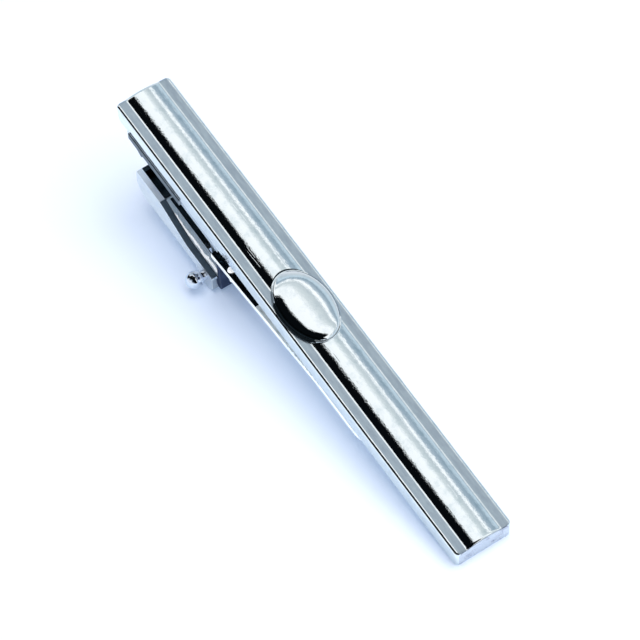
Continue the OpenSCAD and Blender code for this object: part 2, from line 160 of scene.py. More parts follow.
plating = {
    "bar": {"tint": (0.93, 0.955, 0.97), "shade": (0.76, 0.82, 0.85), "rough": 0.03, "wear": 0.05, "ripple": 0.6,
            "depth": 0.02},
    "dome": {"tint": (0.95, 0.965, 0.975), "shade": (0.82, 0.86, 0.89), "rough": 0.03, "wear": 0.04, "ripple": 0.5,
             "depth": 0.015},
    "sheet": {"tint": (0.88, 0.91, 0.95), "shade": (0.74, 0.79, 0.86), "rough": 0.08, "wear": 0.12, "ripple": 0.25},
    "stud": {"tint": (0.76, 0.8, 0.89), "shade": (0.62, 0.67, 0.78), "rough": 0.1, "wear": 0.08, "ripple": 0.15},
    "end": {"tint": (0.7, 0.72, 0.8), "shade": (0.42, 0.44, 0.54), "rough": 0.25, "wear": 0.3, "ripple": 0.8},
    # a duller, darker plating; on the bracket and the lever's cheek it also stands in for shade
    "mount": {"tint": (0.62, 0.66, 0.72), "shade": (0.45, 0.5, 0.57), "rough": 0.15, "wear": 0.15, "ripple": 0.3},
    # dark plating: painted shade on the bracket's side strip and on the lever's sloping wall tops
    "shade": {"tint": (0.1, 0.14, 0.18), "shade": (0.05, 0.075, 0.1), "rough": 0.4, "wear": 0.2, "ripple": 0.4,
              "metal": 0.5},
    # dark blue plating: painted shadow on the jaw arm's riser
    "paintedShadowNavy": {"tint": (0.03, 0.055, 0.13), "shade": (0.06, 0.095, 0.19), "rough": 0.5, "wear": 0.2, "ripple": 0.3,
             "metal": 0.3},
    # a lighter copy of the sheet plating: painted light on the lever's outer faces; the glowing stripes start from it
    "paintedLightPale": {"tint": (0.92, 0.96, 1.0), "shade": (0.85, 0.9, 0.98), "rough": 0.4, "wear": 0.15, "ripple": 0.2,
             "metal": 0.7},
    "satin": {"tint": (0.85, 0.95, 1.0), "shade": (0.7, 0.8, 0.87), "rough": 0.4, "wear": 0.15, "ripple": 0.3,
              "metal": 0.4},
    # near-black plating: painted shade in the lever, arm and jaw hollows, and painted reflection on the oval's near
    # side
    "inside": {"tint": (0.012, 0.018, 0.022), "shade": (0.02, 0.028, 0.035), "rough": 0.3, "wear": 0.2, "ripple": 0.3},
    "wire": {"tint": (0.62, 0.65, 0.69), "shade": (0.4, 0.43, 0.47), "rough": 0.2, "wear": 0.15, "ripple": 0.3},
}
noises = {  # scales are per metre, and a small stretch draws the noise out along the bar
    "cloud": {"scale": 900.0, "detail": 4.0, "roughness": 0.6},
    "hairs": {"scale": 2600.0, "detail": 2.0, "roughness": 0.5, "stretch": (0.05, 1.0, 1.0)},
    "fine": {"scale": 3500.0, "detail": 3.0, "roughness": 0.6},
    "broad": {"scale": 500.0, "detail": 2.0, "roughness": 0.5},
    "ragged": {"scale": 2000.0, "detail": 3.0, "roughness": 0.6, "stretch": (0.6, 1.0, 1.0)},
    "grain": {"scale": 1800.0, "detail": 3.0, "roughness": 0.7, "stretch": (0.25, 1.0, 1.0)},
    "fibres": {"scale": 400.0, "detail": 3.0, "roughness": 0.6},
}
surface = {
    "haze": (0.45, 0.75), "worn": (0.5, 0.8), "scratched": (0.66, 0.72), "grained": (0.3, 0.7),
    "scratchRough": 0.1, "fineHeight": 0.6, "broadHeight": 0.4, "scratchDepth": 0.3, "stripeRise": 0.1,
}
stripes = {  # satin or softly glowing, between two distances from the bar's middle line, in mm, and above a height
    "ledges": {"band": (2.0, 2.82, 0.03), "from": 2.1, "rough": 0.3,
               "dark": (0.4, 0.46, 0.53), "light": (0.5, 0.57, 0.63)},
    # stripes that glow are painted highlights: bright lines on the studs, the jaw and the arm's rails that give off
    # light of their own
    "glint": {"band": (1.8, 3.1, 0.05), "from": -4.2, "rough": 0.3, "glow": 0.6,
              "dark": (0.9, 0.95, 1.0), "light": (1.0, 1.0, 1.0)},
    "rim": {"band": (2.7, 3.2, 0.03), "from": -4.4, "rough": 0.25, "glow": 0.4,
            "dark": (0.85, 0.9, 0.95), "light": (1.0, 1.0, 1.0)},
    "upperJawPaintedLight": {"band": (-1.0, 3.3, 0.03), "from": -4.4, "rough": 0.3, "glow": 0.45,
                 "dark": (0.3, 0.36, 0.4), "light": (0.7, 0.77, 0.8)},
    "paintedRailHighlight": {"band": (2.5, 2.76, 0.03), "from": -7.2, "rough": 0.3, "glow": 0.55, "ragged": 0.5,
             "dark": (0.95, 0.98, 1.0), "light": (1.0, 1.0, 1.0)},
}


def makePlating(name, look, stripe=None):
    material = bpy.data.materials.new(name)
    tree = Tree(material)
    cloud = tree.noise(**noises["cloud"])
    scratches = tree.smooth(tree.noise(**noises["hairs"]), *surface["scratched"])
    colour = tree.mixColours(tree.smooth(cloud, *surface["haze"]), opaque(look["tint"]), opaque(look["shade"]))
    rough = look["rough"] + look["wear"] * tree.smooth(cloud, *surface["worn"]) + surface["scratchRough"] * scratches
    fine, broad = tree.noise(**noises["fine"]), tree.noise(**noises["broad"])
    height = fine * surface["fineHeight"] + broad * surface["broadHeight"] - scratches * surface["scratchDepth"]
    if stripe:
        across = tree.axis(tree.coordinates(), 1).maths("ABSOLUTE")
        across = across + (tree.noise(**noises["ragged"]) - 0.5) * (stripe.get("ragged", 0.0) * mm)
        level = tree.axis(tree.coordinates(), 2)
        upper = tree.smooth(level, stripe["from"] * mm, (stripe["from"] + surface["stripeRise"]) * mm)
        inner, outer, blend = [length * mm for length in stripe["band"]]
        satin = (tree.smooth(across, inner, inner + blend) - tree.smooth(across, outer, outer + blend)) * upper
        grain = tree.smooth(tree.noise(**noises["grain"]), *surface["grained"])
        brushed = tree.mixColours(grain, opaque(stripe["dark"]), opaque(stripe["light"]))
        rough = tree.mixNumbers(satin, rough, stripe["rough"])
        colour = tree.mixColours(satin, colour, brushed)
    bump = tree.node("ShaderNodeBump", {}, {
        "Strength": look["ripple"], "Distance": look.get("depth", 0.01) * mm, "Height": height})
    inputs = {"Base Color": colour, "Metallic": look.get("metal", 1.0), "Roughness": rough, "Normal": bump}
    # a stripe that glows gives off light of its own: a painted highlight
    if stripe and "glow" in stripe:
        paintedHighlight = tree.mixColours(satin, opaque((0.0, 0.0, 0.0)), brushed)
        inputs.update({"Emission Color": paintedHighlight, "Emission Strength": stripe["glow"]})
    shader = tree.node("ShaderNodeBsdfPrincipled", {}, inputs)
    tree.node("ShaderNodeOutputMaterial", {}, {"Surface": shader})
    return material


materials = {
    "bar": makePlating("barChrome", plating["bar"], stripes["ledges"]),
    # the rail, glint, rim and upper jaw platings glow: painted highlights
    "rail": makePlating("railChrome", plating["satin"], stripes["paintedRailHighlight"]),
    "glint": makePlating("paintedGlintChrome", plating["paintedLightPale"], stripes["glint"]),
    "rim": makePlating("rimHighlightChrome", plating["paintedLightPale"], stripes["rim"]),
    "upperJawPaintedLight": makePlating("jawTopPaintedLightChrome", plating["paintedLightPale"], stripes["upperJawPaintedLight"]),
    # next come platings that are painted light and shade: dark blue shadow, a lighter copy, dark shade and near-black
    # shade and reflection
    "paintedShadowNavy": makePlating("paintedShadowNavyChrome", plating["paintedShadowNavy"]),
    "paintedLightPale": makePlating("paintedLightPaleChrome", plating["paintedLightPale"]),
    "end": makePlating("endChrome", plating["end"]),
    "mount": makePlating("mountChrome", plating["mount"]),
    "shade": makePlating("paintedShadeChrome", plating["shade"]),
    "inside": makePlating("paintedShadeAndReflectionChrome", plating["inside"]),
    "dome": makePlating("domeChrome", plating["dome"]),
    "sheet": makePlating("sheetChrome", plating["sheet"]),
    "stud": makePlating("studChrome", plating["stud"]),
    "wire": makePlating("springWire", plating["wire"]),
}
print("materials made")


# Modelling: small steps that each piece below is made with
mesh = {"merge": 0.0005, "pinpoint": 0.001, "sharpFrom": 30.0, "straight": 0.01, "mostOfSide": 0.49}


def deselect():
    if bpy.context.mode != "OBJECT":
        bpy.ops.object.mode_set(mode="OBJECT")
    bpy.ops.object.select_all(action="DESELECT")


def pick(piece):
    deselect()
    piece.select_set(True)
    bpy.context.view_layer.objects.active = piece


def editAll(piece):
    pick(piece)
    bpy.ops.object.mode_set(mode="EDIT")
    bpy.ops.mesh.select_mode(type="FACE")
    bpy.ops.mesh.select_all(action="SELECT")


def faceOut(piece):
    editAll(piece)
    bpy.ops.mesh.remove_doubles(threshold=mesh["merge"])
    bpy.ops.mesh.normals_make_consistent(inside=False)
    bpy.ops.object.mode_set(mode="OBJECT")


def arc(centre, radius, start, end, steps):
    angles = [math.radians(start + (end - start) * step / steps) for step in range(steps + 1)]
    return [(centre[0] + radius * math.cos(angle), centre[1] + radius * math.sin(angle)) for angle in angles]


def roundOff(corners, step=10.0):  # a corner is (x, y) or (x, y, radius), and step is in degrees
    points = []
    for index, corner in enumerate(corners):
        here = Vector(corner[:2])
        radius = corner[2] if len(corner) > 2 else 0.0
        back = Vector(corners[index - 1][:2]) - here
        on = Vector(corners[(index + 1) % len(corners)][:2]) - here
        angle = back.angle(on)
        if radius <= 0.0 or angle > math.pi - mesh["straight"]:
            points.append(tuple(here))
            continue
        reach = min(radius / math.tan(angle / 2), mesh["mostOfSide"] * min(back.length, on.length))
        radius = reach * math.tan(angle / 2)
        centre = here + (back.normalized() + on.normalized()).normalized() * (radius / math.sin(angle / 2))
        first = here + back.normalized() * reach - centre
        last = here + on.normalized() * reach - centre
        sweep = math.atan2(first.x * last.y - first.y * last.x, first.dot(last))
        count = max(2, math.ceil(abs(math.degrees(sweep)) / step))
        for part in range(count + 1):
            points.append(tuple(centre + Matrix.Rotation(sweep * part / count, 2) @ first))
    return points


def cutSheet(name, outline, low, high, plane="XZ"):
    deselect()
    bpy.ops.mesh.primitive_circle_add(vertices=len(outline), radius=1.0, fill_type="NGON")
    piece = bpy.context.active_object
    piece.name = name
    for vertex, (across, up) in zip(piece.data.vertices, outline):
        vertex.co = (across, low, up) if plane == "XZ" else (across, up, low)
    editAll(piece)
    way = (0.0, high - low, 0.0) if plane == "XZ" else (0.0, 0.0, high - low)
    bpy.ops.mesh.extrude_region_move(TRANSFORM_OT_translate={"value": way})
    faceOut(piece)
    return piece


def block(name, low, high):
    outline = [(low[0], low[2]), (high[0], low[2]), (high[0], high[2]), (low[0], high[2])]
    return cutSheet(name, outline, low[1], high[1])


def turn(name, steps, sides=48, oval=(1.0, 1.0)):
    deselect()
    radius, height = steps[0]
    bpy.ops.mesh.primitive_circle_add(vertices=sides, radius=radius, fill_type="NGON", location=(0.0, 0.0, height))
    piece = bpy.context.active_object
    piece.name = name
    bpy.ops.object.transform_apply(location=True, rotation=True, scale=True)
    editAll(piece)
    for nextRadius, nextHeight in steps[1:]:
        bpy.ops.mesh.extrude_region_move(TRANSFORM_OT_translate={"value": (0.0, 0.0, nextHeight - height)})
        nextRadius = max(nextRadius, mesh["pinpoint"])
        share = nextRadius / radius
        bpy.ops.transform.resize(value=(share, share, 1.0), center_override=(0.0, 0.0, nextHeight))
        radius, height = nextRadius, nextHeight
    bpy.ops.object.mode_set(mode="OBJECT")
    for vertex in piece.data.vertices:
        vertex.co.x *= oval[0]
        vertex.co.y *= oval[1]
    faceOut(piece)
    return piece


def applyModifiers(piece):
    pick(piece)
    for modifier in list(piece.modifiers):
        bpy.ops.object.modifier_apply(modifier=modifier.name)


def combine(piece, tool, operation="DIFFERENCE"):
    modifier = piece.modifiers.new("combine", "BOOLEAN")
    modifier.operation = operation
    modifier.solver = "EXACT"
    modifier.object = tool
    applyModifiers(piece)
    bpy.data.objects.remove(tool, do_unlink=True)


def shift(piece, place, turnAxis=None, angle=0.0):
    matrix = Matrix.Translation(place)
    if turnAxis:
        matrix = matrix @ Matrix.Rotation(math.radians(angle), 4, turnAxis)
    piece.data.transform(matrix)


def softenEdges(piece, width, segments=3):
    modifier = piece.modifiers.new("edges", "BEVEL")
    modifier.width = width
    modifier.segments = segments
    modifier.limit_method = "ANGLE"
    modifier.angle_limit = math.radians(mesh["sharpFrom"])
    applyModifiers(piece)


def split(piece, place, normal):
    editAll(piece)
    bpy.ops.mesh.bisect(plane_co=place, plane_no=normal)
    bpy.ops.object.mode_set(mode="OBJECT")


def joinAll(pieces):
    pick(pieces[0])
    for piece in pieces[1:]:
        piece.select_set(True)
    bpy.ops.object.join()
    return pieces[0]


def dress(piece, material):
    piece.data.materials.clear()
    piece.data.materials.append(materials[material])
    for face in piece.data.polygons:
        face.material_index = 0


def paint(piece, material, test):
    piece.data.materials.append(materials[material])
    index = len(piece.data.materials) - 1
    for face in piece.data.polygons:
        if test(face.center, face.normal):
            face.material_index = index


def finish(piece, nodes, body, sharp=40.0):
    piece.data.transform(Matrix.Scale(mm, 4))
    pick(piece)
    bpy.ops.object.shade_smooth_by_angle(angle=math.radians(sharp))
    modifier = piece.modifiers.new("normals", "WEIGHTED_NORMAL")
    modifier.keep_sharp = True
    modifier.weight = 100
    applyModifiers(piece)
    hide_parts(*nodes)
    if body:
        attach(piece, body)
    print("piece", piece.name, len(piece.data.polygons))


# Front bar
bar = {
    "length": 60.8, "middle": 0.2, "width": 6.34, "thick": 2.25, "ridgeRadius": 6.9, "ridgeHalf": 1.8,
    "footRadius": 0.68, "roll": 0.75, "rollAngle": 17.0, "edge": 0.18, "corner": 0.5, "cornerZone": 0.5,
    "cornerTurn": 1.5, "ridgeParts": 72, "rollParts": 6, "footParts": 8, "lowParts": 5,
}


def rollPoints():  # the softly polished edge: (distance in from the edge, drop) from the flat outwards
    stop, parts = math.radians(bar["rollAngle"]), bar["rollParts"]
    reach = bar["roll"] * math.sin(stop) + bar["edge"] * (1 - math.sin(stop))
    points = []
    for step in range(parts + 1):
        angle = stop * step / parts
        points.append((reach - bar["roll"] * math.sin(angle), bar["roll"] * (1 - math.cos(angle))))
    last = points[-1]
    for step in range(1, parts + 1):
        angle = stop + (math.pi / 2 - stop) * step / parts
        points.append((last[0] - bar["edge"] * (math.sin(angle) - math.sin(stop)),
                       last[1] + bar["edge"] * (math.cos(stop) - math.cos(angle))))
    return points


def barOutline():
    half, top, foot = bar["width"] / 2, bar["thick"], bar["footRadius"]
    slope = math.asin(bar["ridgeHalf"] / bar["ridgeRadius"])
    start = top + foot * (1 - math.cos(slope))
    centre = start - bar["ridgeRadius"] * math.cos(slope)
    right = [(half - inward, top - drop) for inward, drop in reversed(rollPoints())]
    for step in range(bar["footParts"] + 1):
        angle = slope * step / bar["footParts"]
        right.append((bar["ridgeHalf"] + foot * (math.sin(slope) - math.sin(angle)),
                      start + foot * (math.cos(slope) - math.cos(angle))))
    right += arc((0.0, centre), bar["ridgeRadius"], 90.0 - math.degrees(slope), 90.0, bar["ridgeParts"] // 2)[1:]
    left = [(-y, z) for y, z in reversed(right[:-1])]
    low = arc((half - bar["edge"], bar["edge"]), bar["edge"], -90.0, 0.0, bar["lowParts"])[:-1]
    return [(-y, z) for y, z in reversed(low)] + low + right + left


def makeBar():
    outline = barOutline()
    end, corner, edge = bar["length"] / 2, bar["corner"], bar["edge"]
    roll = rollPoints()
    inner = [end - corner + corner * math.sin(math.radians(angle)) for angle in (0.0, bar["cornerTurn"])]
    outer = [end - inward for inward, drop in roll]
    stations = sorted({-x for x in inner + outer} | set(inner + outer))
    deselect()
    bpy.ops.mesh.primitive_circle_add(vertices=len(outline), radius=1.0, fill_type="NGON")
    piece = bpy.context.active_object
    piece.name = "frontBar"
    for vertex, (y, z) in zip(piece.data.vertices, outline):
        vertex.co = (stations[0], y, z)
    editAll(piece)
    for here, ahead in zip(stations, stations[1:]):
        bpy.ops.mesh.extrude_region_move(TRANSFORM_OT_translate={"value": (ahead - here, 0.0, 0.0)})
    bpy.ops.object.mode_set(mode="OBJECT")
    for vertex in piece.data.vertices:
        x, y, z = vertex.co
        past = max(0.0, abs(x) - (end - corner))
        pull = corner - math.sqrt(max(corner ** 2 - past ** 2, 0.0))
        inward = end - abs(x)
        drop = min((d for i, d in roll if i <= inward + 1e-6), default=0.0) if inward < roll[0][0] else 0.0
        if abs(y) > bar["width"] / 2 - bar["cornerZone"]:
            y -= math.copysign(pull, y)
        if z > bar["thick"] / 2:
            z -= drop
        elif inward < edge:
            z += edge - math.sqrt(max(edge ** 2 - (edge - inward) ** 2, 0.0))
        vertex.co = (x + bar["middle"], y, z)
    faceOut(piece)
    dress(piece, "bar")
    paint(piece, "end", lambda place, normal: abs(normal.x) > 0.95)
    finish(piece, ["front_bar"], "front")


makeBar()

# Oval ornament
oval = {
    "middle": (0.35, -0.1), "half": (4.5, 2.9), "rim": 0.2, "rimHeight": 0.34, "rimEdge": 0.07, "domeHeight": 0.86,
    "wall": 0.34, "line": 0.09, "fullness": 0.97, "sides": 160, "rings": 40, "sunk": 0.1,
    "seam": 0.17, "seamIn": 0.06, "seamTurns": (136.0, 214.0), "seamTop": 0.29, "seamParts": 24,
    "darkFrom": -1.9, "darkRim": 1.45, "darkDome": 0.945, "darkTilt": (0.2, 0.93),
}


def ovalPoints(outward, angles, middle=(0.0, 0.0)):
    long, wide = oval["half"]
    return [(middle[0] + (long + out) * math.cos(angle), middle[1] + (wide + out) * math.sin(angle))
            for out, angle in zip(outward, angles)]


def ovalRing(outward):
    sides = oval["sides"]
    return ovalPoints([outward] * sides, [2 * math.pi * side / sides for side in range(sides)])


def seamOutline():  # a thin dark crescent outside the far end of the rim
    start, end = oval["seamTurns"]
    shares = [step / oval["seamParts"] for step in range(oval["seamParts"] + 1)]
    angles = [math.radians(start + (end - start) * share) for share in shares]
    outer = ovalPoints([oval["seam"] * math.sin(math.pi * share) for share in shares], angles, oval["middle"])
    inner = ovalPoints([-oval["seamIn"]] * len(shares), angles, oval["middle"])
    return outer + inner[::-1]


def inPaintedReflectionPart(place, out):  # the side towards -Y, short of the far end, where a dark reflection is painted
    return place.x > oval["middle"][0] + oval["darkFrom"] and place.y < oval["middle"][1] - out


def makeBezel():
    base, top = bar["thick"], bar["thick"] + oval["rimHeight"]
    low, seamTop = base - oval["sunk"], base + oval["seamTop"]
    ring = cutSheet("ovalBezel", ovalRing(0.0), low, top, "XY")
    combine(ring, cutSheet("hole", ovalRing(-oval["rim"]), base - 0.5, top + 0.5, "XY"))
    shift(ring, oval["middle"] + (0.0,))
    softenEdges(ring, oval["rimEdge"])
    combine(ring, cutSheet("seam", seamOutline(), low, seamTop, "XY"), "UNION")
    split(ring, (0.0, 0.0, base + oval["line"]), (0.0, 0.0, 1.0))
    dress(ring, "bar")
    # painted reflection: the rim's near side above its foot line, and the crescent's top, are painted near-black
    paint(ring, "inside", lambda place, normal: place.z > base + oval["line"] and inPaintedReflectionPart(place, oval["darkRim"]))
    paint(ring, "inside", lambda place, normal: normal.z > 0.9 and abs(place.z - seamTop) < 0.005)
    finish(ring, ["oval_bezel"], "front")


def makeDome():
    long, wide = oval["half"][0] - oval["rim"], oval["half"][1] - oval["rim"]
    steps = [(1.0, 0.0)]
    for ring in range(oval["rings"] + 1):
        angle = math.radians(90.0 * ring / oval["rings"])
        radius = max(math.cos(angle), 0.0) ** oval["fullness"]
        steps.append((max(radius, 0.002), oval["wall"] + (oval["domeHeight"] - oval["wall"]) * math.sin(angle)))
    dome = turn("ovalDome", steps, oval["sides"], (long, wide))
    shift(dome, oval["middle"] + (bar["thick"],))
    dress(dome, "dome")
    low, high = oval["darkTilt"]
    # painted reflection: the dome's sloping faces on the near side are painted near-black
    paint(dome, "inside", lambda place, normal: low < normal.z < high and inPaintedReflectionPart(place, oval["darkDome"]))
    finish(dome, ["oval_cabochon"], "front", 60.0)


makeBezel()
makeDome()

# Hinge bracket on the bar's back
bracket = {
    "sheet": 0.9, "seat": (-19.2, -11.4), "seatHalf": 3.075, "tongueHalf": 3.3, "lipX": -28.1, "lip": (1.0, 1.35),
    "web": ((-27.3, -1.3), (-25.9, -2.1), (-25.65, -1.7), (-25.15, -0.85)), "webHalf": 3.1,
    "earOut": 1.8, "ear": 0.5, "earRadius": 1.2, "earRoot": 3.6, "edges": 0.08, "lipHalf": 3.17, "shadeOut": 2.9,
}
hinge = {
    "x": -13.7, "z": -7.9, "radius": 0.6, "side": 3.6, "ballOut": 1.2, "ball": 0.96, "ballFrom": -55.0,
    "ballParts": 24,
}


def makeBracket():
    sheet, half = bracket["sheet"], bracket["seatHalf"]
    seat = block("hingeBracket", (bracket["seat"][0], -half, -sheet), (bracket["seat"][1], half, 0.0))
    tongue, lipX, (long, drop) = bracket["tongueHalf"], bracket["lipX"], bracket["lip"]
    lipEnd = lipX + long
    combine(seat, block("tongue", (lipX + 0.2, -tongue, -sheet), (bracket["seat"][0] + 1.0, tongue, 0.0)), "UNION")
    lip = roundOff([(lipX - 0.1, 0.0), (lipX - 0.1, -0.4 * drop, 0.4), (lipEnd, -drop, 0.2), (lipEnd, 0.0)])
    combine(seat, cutSheet("lip", lip, -bracket["lipHalf"], bracket["lipHalf"]), "UNION")
    web = [(lipEnd - 0.3, 0.0)] + list(bracket["web"]) + [(bracket["web"][-1][0], 0.0)]
    combine(seat, cutSheet("web", web, -bracket["webHalf"], bracket["webHalf"]), "UNION")
    right = hinge["x"] + bracket["earRadius"]
    ear = [(right - bracket["earRoot"], -sheet / 2), (right, -sheet / 2)]
    ear += arc((hinge["x"], hinge["z"]), bracket["earRadius"], 0.0, -180.0, 18)
    out, thick = bracket["earOut"], bracket["ear"]
    for low in (-out, out - thick):
        combine(seat, cutSheet("ear", ear, low, low + thick), "UNION")
    softenEdges(seat, bracket["edges"])
    # The whole bracket takes the duller, darker mount plating, which also stands in for its shade under the bar; the
    # side strip from the lip to the seat is painted shade, and the lip, clear of the bar, keeps the lighter sheet
    # plating.
    dress(seat, "mount")
    paint(seat, "shade", lambda place, normal: normal.z > -0.5 and abs(place.y) > bracket["shadeOut"]
          and lipEnd - 0.1 < place.x < bracket["seat"][0] + 0.1)
    paint(seat, "sheet", lambda place, normal: place.x < lipEnd + 0.05)
    finish(seat, ["hinge_bracket"], "front")


makeBracket()

# Pin with its two ball heads
def makePin(name, node, angle):
    steps = [(hinge["radius"], 0.0), (hinge["radius"], hinge["side"] + 0.2)]
    centre, parts = hinge["side"] + hinge["ballOut"], hinge["ballParts"]
    for step in range(parts + 1):
        lift = math.sin(math.radians(hinge["ballFrom"] + (90.0 - hinge["ballFrom"]) * step / parts))
        steps.append((hinge["ball"] * math.sqrt(max(1 - lift ** 2, 0.0)), centre + hinge["ball"] * lift))
    pin = turn(name, steps)
    shift(pin, (hinge["x"], 0.0, hinge["z"]), "X", angle)
    dress(pin, "stud")
    finish(pin, [node], "lever", 50.0)


makePin("hingePin", "hinge_pin", 90.0)
makePin("pinBall", "pin_cap", -90.0)

# Thumb lever
lever = {
    "sheet": 0.7, "half": 3.6, "tail": -26.7, "pad": -8.5, "tailRadius": 2.4, "lean": 0.1, "height": 3.45,
    "rim": -21.8, "slope": -17.0, "wall": -6.8, "padEnd": -16.3, "cheek": -12.15, "cheekRadius": 1.9, "edges": 0.12,
}


def makeLever():
    tail, pad, radius, lean = lever["tail"], lever["pad"], lever["tailRadius"], lever["lean"]
    top = pad + lever["height"]
    corners = [(tail, pad, radius), (tail + lean, top, 0.3), (lever["rim"], top, 1.0),
               (lever["slope"], lever["wall"], 1.2), (lever["cheek"], lever["wall"], 0.35)]
    outline = roundOff(corners + [(lever["cheek"], hinge["z"] - 1.1, 0.2)], 6.0)
    outline += arc((hinge["x"], hinge["z"]), lever["cheekRadius"], -45.0, -160.0, 18)
    outline += [(hinge["x"] - 2.4, pad)]
    half, inner, sheet = lever["half"], lever["half"] - lever["sheet"], lever["sheet"]
    tray = cutSheet("thumbLever", outline, -half, half)
    hollow = roundOff([(tail + sheet, pad + sheet, radius - sheet), (tail + sheet + lean, top + 1.0),
                       (lever["cheek"] + 1.0, top + 1.0), (lever["cheek"] + 1.0, pad - 3.0),
                       (lever["padEnd"], pad - 3.0), (lever["padEnd"], pad + sheet)], 6.0)
    combine(tray, cutSheet("hollow", hollow, -inner, inner))
    softenEdges(tray, lever["edges"])
    for side in (-1.0, 1.0):
        split(tray, (0.0, side * (inner + 0.06), 0.0), (0.0, 1.0, 0.0))
    # Painted light and shade on one sheet: the inside near-black, the sloping wall tops dark, the outer faces and
    # level wall tops lighter, and the cheek darker.
    dress(tray, "sheet")
    paint(tray, "inside", lambda place, normal: abs(place.y) < inner + 0.07 and place.z > pad + 0.3
          and (place.x > tail + sheet - 0.1 or normal.z > 0.3))
    paint(tray, "shade", lambda place, normal: abs(place.y) > inner + 0.05 and normal.z > 0.75
          and place.x > lever["rim"] - 0.2)
    paint(tray, "paintedLightPale", lambda place, normal: abs(place.y) > inner + 0.05 and (abs(normal.y) > 0.5 or normal.z > 0.3)
          and (place.x < lever["rim"] - 0.2 or abs(place.y) > half - 0.01))
    paint(tray, "mount", lambda place, normal: place.x > hinge["x"] - 2.2 and normal.z < 0.3)
    finish(tray, ["thumb_lever"], "lever")


makeLever()

# Jaw arm inside the lever, the toothed jaw and its two studs
arm = {
    "half": 2.88, "railIn": 1.93, "low": -7.78, "high": -6.88, "nose": -23.2, "noseRadius": 0.44, "eye": 1.25,
    "riser": -12.25, "sheet": 0.6, "flange": 3.4, "edges": 0.2, "channel": (-21.9, 1.73, 0.45),
    "noseCorner": 1.0,
}
jaw = {
    "half": 3.1, "sheet": 0.72, "horn": 0.75, "dark": -4.6, "drop": 3.82, "bend": 6.2, "serrated": 0.7,
    "flat": -1.11, "round": 12.0, "tip": 17.0,
    "tooth": 0.26, "toothWide": 0.6, "pitch": 0.7, "teeth": 9, "edges": 0.08, "polish": 0.32,
    "stud": 2.48, "studOut": 2.5, "studRadius": 0.33, "headRadius": 0.4,
}


def jawSlope():
    return (jaw["flat"] + jaw["drop"]) / (jaw["bend"] - arm["riser"])


def underJaw(x):
    return -jaw["drop"] + (x - arm["riser"]) * jawSlope()


def jawTop(x):
    return min(underJaw(x), jaw["flat"]) + jaw["sheet"]


def makeArm():
    low, high, riser = arm["low"], arm["high"], arm["riser"]
    edge = riser + arm["sheet"]
    flange = riser + arm["flange"]
    corners = [(arm["nose"], low, arm["noseRadius"]), (arm["nose"], high, arm["noseRadius"]), (riser, high, 0.0),
               (riser, underJaw(riser) - 0.01, 0.2), (flange, underJaw(flange) - 0.01, 0.1),
               (flange, underJaw(flange) - arm["sheet"], 0.1), (edge, underJaw(edge) - arm["sheet"], 0.3),
               (edge, hinge["z"] - arm["eye"], 0.5)]
    outline = roundOff(corners) + arc((hinge["x"], hinge["z"]), arm["eye"], -90.0, -170.0, 12)
    outline += [(hinge["x"] - arm["eye"] - 0.2, low)]
    piece = cutSheet("jawArm", outline, -arm["half"], arm["half"])
    corner = arm["noseCorner"]
    plan = roundOff([(arm["nose"], -arm["half"], corner), (arm["nose"], arm["half"], corner),
                     (flange + 1.0, arm["half"] + 0.001), (flange + 1.0, -arm["half"] - 0.001)], 6.0)
    combine(piece, cutSheet("plan", plan, -12.0, 0.0, "XY"), "INTERSECT")
    window = arm["railIn"]
    combine(piece, block("window", (lever["padEnd"], -window, low - 3.0), (riser, window, high + 1.0)))
    first, across, deep = arm["channel"]
    combine(piece, block("channel", (first, -across, high - deep), (lever["padEnd"] + 0.5, across, high + 1.0)))
    softenEdges(piece, arm["edges"])
    for side in (-1.0, 1.0):
        split(piece, (0.0, side * (window + 0.1), 0.0), (0.0, 1.0, 0.0))
    # The rails carry a glowing line along their outer edge, a painted highlight; the window and channel are painted
    # near-black and the riser dark blue, both painted shade.
    dress(piece, "rail")
    paint(piece, "inside", lambda place, normal: abs(place.y) < window + 0.05 and first - 0.1 < place.x < riser)
    paint(piece, "paintedShadowNavy", lambda place, normal: place.x > riser - 0.3)
    finish(piece, ["jaw_arm"], "lever")


